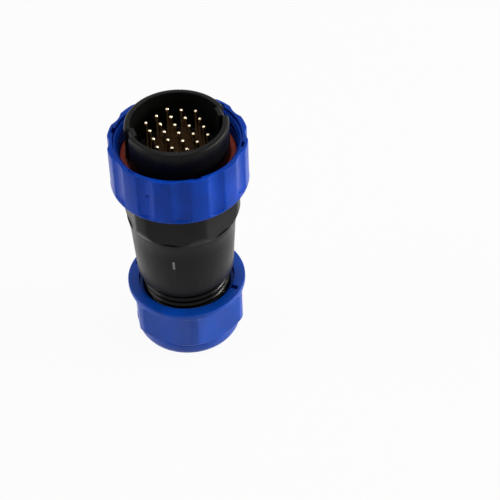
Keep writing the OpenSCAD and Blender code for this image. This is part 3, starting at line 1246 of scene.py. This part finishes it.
@dataclass
class GlandNut(RingPiece):
    """Six-sided gland nut with a round rim, notches in its top and a thread inside."""

    hole: Mm = 7.2
    hole_round: Mm = 0.4
    floor: Mm = 3.0
    bore: Mm = 12.55
    mouth: Mm = 13.65
    mouth_depth: Mm = 1.5
    wall: Hexagon = Hexagon(turn=19.5, flat=14.95, corner=16.71, blend=0.08, reach=9.0)
    foot_radius: Mm = 14.8
    foot_top_radius: Mm = 15.0
    foot_height: Mm = 4.8
    foot_round: Mm = 3.0
    bead_height: Mm = 0.4
    bead_width: Mm = 0.12
    bead_round: Mm = 0.08
    bead_shares: tuple[float, float] = (0.7, 0.3)
    bevel_height: Mm = 2.2
    bevel_start: Mm = 0.05
    bevel_inset: Mm = 0.02
    bevel_over: Mm = 0.2
    bevel_crease: Mm = 0.03
    bevel_rows: int = 9
    rim_height: Mm = 1.4
    rim_flare: Mm = 0.9
    notch_count: int = 2
    notch_turn: Degrees = -60.0
    notch_width: Mm = 1.3
    notch_radius: Mm = 15.65
    notch_depth: Mm = 1.2
    thread_depth: Mm = 0.5
    thread_floor_gap: Mm = 0.5
    thread_mouth_gap: Mm = 0.3

    def __post_init__(self) -> None:
        """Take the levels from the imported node, and lay out the notches and the thread."""
        super().__post_init__()
        self.rim_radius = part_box(self.node)[1].y / MM
        first = self.wall.turn + self.notch_turn
        self.notches = Spokes(first, self.notch_count, self.notch_width, self.mouth)
        self.mouth_floor = self.span.top - self.mouth_depth
        self.thread = Thread(self.thread_depth, 0.0, self.floor + self.thread_floor_gap,
                             self.mouth_floor - self.thread_mouth_gap)

    def bevel(self, wall: Mm) -> list[Corner]:
        """Give the points from the round foot up to where the bevel meets the wall.

        Args:
            wall: Radius of the wall in the section's direction.

        Returns:
            Corners without fillets, with the wall kept inside the bevel's cone.
        """
        points: list[Corner] = []
        start = self.foot_height + self.bevel_start
        end = self.foot_height + self.bevel_height
        growth = self.wall.corner + self.bevel_over - self.foot_top_radius
        for z in rows(start, end, self.bevel_height / self.bevel_rows):
            share = (z - self.foot_height) / self.bevel_height
            cone = self.foot_top_radius - self.bevel_inset + growth * share
            points.append((soft_min(wall, cone, self.bevel_crease), z, 0.0))
        return points

    def section(self, angle: Degrees) -> Section:
        """Give the nut's section in a direction.

        Args:
            angle: Direction.

        Returns:
            The section's points.
        """
        wall = self.wall.radius(angle)
        top = self.span.top
        rim_foot = top - self.rim_height
        notch = self.notch_radius if self.notches.hold(angle) else self.mouth
        notch_floor = top - self.notch_depth
        bead = self.foot_top_radius + self.bead_width
        bead_levels = [self.foot_height - self.bead_height * share for share in self.bead_shares]
        return rounded([
            (self.hole, 0.0, self.hole_round),
            (self.foot_radius, 0.0, self.foot_round),
            (self.foot_top_radius, self.foot_height - self.bead_height, 0.0),
            *((bead, z, self.bead_round) for z in bead_levels),
            (self.foot_top_radius, self.foot_height, 0.0),
            *self.bevel(wall),
            (wall, rim_foot - self.rim_flare, Fillet.PLAIN),
            (self.rim_radius, rim_foot, Fillet.PLAIN),
            (self.rim_radius, top, Fillet.LARGE),
            (notch, top, Fillet.BROKEN),
            (notch, notch_floor, 0.0),
            (self.mouth, notch_floor - STEP_RISE, 0.0),
            (self.mouth, self.mouth_floor, 0.0),
            (self.bore, self.mouth_floor, Fillet.SLIGHT),
            *reversed(self.thread.corners(angle, self.bore)),
            (self.bore, self.floor, Fillet.SMALL),
            (self.hole, self.floor, Fillet.SMALL),
        ])

    def edges(self) -> list[Degrees]:
        """List the directions at the corners, the thread's seam and the notches."""
        return self.wall.edges() + self.thread.edges() + self.notches.edges()


@dataclass
class InnerPieces:
    """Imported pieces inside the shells, which keep their own solids."""

    black: tuple[str, ...] = ("contact_insert", "insert_retainer", "thrust_ring")
    rubber: tuple[str, ...] = ("shell_o_ring", "cable_grommet")

    def dress(self) -> None:
        """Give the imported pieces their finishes."""
        # The black inner pieces get a brown tint, which is a painted reflection of the gold pins.
        for nodes, finish in ((self.black, Finish.INSERT_BLACK), (self.rubber, Finish.RUBBER_BLACK)):
            for node in nodes:
                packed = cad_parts[node]
                packed.data.materials.clear()
                packed.data.materials.append(finish.value.material())
                LOG.info("%s: packed solid, dressed", node)


@dataclass
class PhotoCamera:
    """Camera at the photograph's angle, with the plug left of the picture's middle."""

    azimuth: Degrees = -18.0
    elevation: Degrees = 44.18
    roll: Degrees = -1.79
    distance: Mm = 481.4
    aim_right: Mm = 18.38
    aim_height: Mm = 27.73
    lens: Mm = 122.4
    nearest_m: float = 0.01

    def build(self) -> None:
        """Make the camera and set it as the scene's."""
        turn = math.radians(self.azimuth)
        tilt = math.radians(self.elevation)
        level = Vector((math.cos(turn), math.sin(turn), 0))
        away = Vector((-math.sin(turn), math.cos(turn), 0))
        forward = away * math.cos(tilt) - Vector((0, 0, math.sin(tilt)))
        roll = Matrix.Rotation(math.radians(self.roll), 3, -forward)
        right = roll @ level
        upward = roll @ level.cross(forward)
        aim = level * self.aim_right + Vector((0, 0, self.aim_height))
        data = bpy.data.cameras.new("photo_camera")
        data.lens = self.lens
        data.clip_start = self.nearest_m
        camera = bpy.data.objects.new("photo_camera", data)
        bpy.context.scene.collection.objects.link(camera)
        axes = Matrix((right, upward, -forward)).transposed().to_4x4()
        camera.matrix_world = Matrix.Translation((aim - forward * self.distance) * MM) @ axes
        bpy.context.scene.camera = camera
        LOG.info("camera: %.1f mm lens, %.1f degrees above the floor", self.lens, self.elevation)


@dataclass(frozen=True)
class SoftBox:
    """A studio lamp with a flat front that faces the plug, with its sizes and distance in metres."""

    name: str
    azimuth: Degrees
    elevation: Degrees
    distance: float
    width: float
    height: float
    watts: float
    tint: Colour = (1.0, 1.0, 1.0)

    def build(self) -> None:
        """Hang the lamp, with its front to the plug's middle."""
        turn = math.radians(self.azimuth)
        tilt = math.radians(self.elevation)
        out = Vector((math.sin(turn) * math.cos(tilt), -math.cos(turn) * math.cos(tilt), math.sin(tilt)))
        data = bpy.data.lights.new(self.name, "AREA")
        data.shape = "RECTANGLE"
        data.size = self.width
        data.size_y = self.height
        data.energy = self.watts
        data.color = self.tint
        lamp = bpy.data.objects.new(self.name, data)
        lamp.location = MIDDLE + out * self.distance
        lamp.rotation_euler = out.to_track_quat("Z", "Y").to_euler()
        bpy.context.scene.collection.objects.link(lamp)
        LOG.info("%s: %.1f W", self.name, self.watts)


@dataclass
class Studio:
    """Pale floor, white surround and soft lamps."""

    floor_radius_m: float = 2.0
    floor_steps: int = 72
    floor_white: float = 0.82
    floor_lift: float = 0.94
    surround: float = 0.1
    lamps: tuple[SoftBox, ...] = (
        SoftBox("left_softbox", -106, 22, 0.75, 0.5, 0.6, 2.4),
        SoftBox("right_tube", 71, 18, 0.75, 0.7, 0.035, 5.4, (1.0, 0.96, 0.9)),
        SoftBox("top_softbox", 160, 86, 0.85, 0.4, 0.4, 1.8),
    )

    def build_floor(self) -> None:
        """Lay the floor, white to the camera but still showing the plug's shadow."""
        ring = [at(angle, self.floor_radius_m / MM, 0) for angle in angles_with([], self.floor_steps)]
        floor = make_object("floor", ring, [tuple(range(len(ring)))])
        material = bpy.data.materials.new("floor_white")
        material.use_nodes = True
        sheet = NodeSheet(material.node_tree)
        grey = self.floor_white
        matt = sheet.add("ShaderNodeBsdfDiffuse", {"Color": (grey, grey, grey, 1)})
        glow = sheet.add("ShaderNodeEmission")
        share = sheet.calculate("MULTIPLY", sheet.backdrop_rays(), self.floor_lift)
        sheet.surface("ShaderNodeOutputMaterial", share, matt, glow)
        floor.data.materials.append(material)
        LOG.info("floor: %.1f m across", 2 * self.floor_radius_m)

    def build_surround(self) -> None:
        """Set the world: white as a backdrop, dimmer as a light."""
        world = bpy.data.worlds.new("studio")
        world.use_nodes = True
        sheet = NodeSheet(world.node_tree)
        light = sheet.add("ShaderNodeBackground", {"Color": WHITE, "Strength": self.surround})
        backdrop = sheet.add("ShaderNodeBackground", {"Color": WHITE})
        sheet.surface("ShaderNodeOutputWorld", sheet.backdrop_rays(), light, backdrop)
        bpy.context.scene.world = world
        bpy.context.scene.view_settings.view_transform = "Standard"

    def build(self) -> None:
        """Build the floor, the surround and the lamps."""
        self.build_floor()
        self.build_surround()
        for lamp in self.lamps:
            lamp.build()


def main() -> None:
    """Build the camera, the studio and every piece of the plug."""
    logging.basicConfig(level=logging.INFO, format="%(name)s: %(message)s")
    PhotoCamera().build()
    Studio().build()
    pieces = (
        CouplingRing("coupling_ring", Body.COUPLING, Slot.GRIP_BLUE, 360),
        CouplingNut("coupling_nut", Body.COUPLING, Slot.GRIP_BLUE, 180),
        FrontShell("front_shell", Body.SHELL, Slot.SHELL_BLACK, 240),
        FaceSeal("face_seal", Body.SHELL, Slot.SEAL_RED, 180),
        Contacts(),
        BackShell("back_shell", Body.SHELL, Slot.SHELL_BLACK, 240),
        GlandNut("gland_nut", Body.GLAND, Slot.GLAND_BLUE, 240),
    )
    for piece in pieces:
        piece.build()
    InnerPieces().dress()


if __name__ == "__main__":
    main()
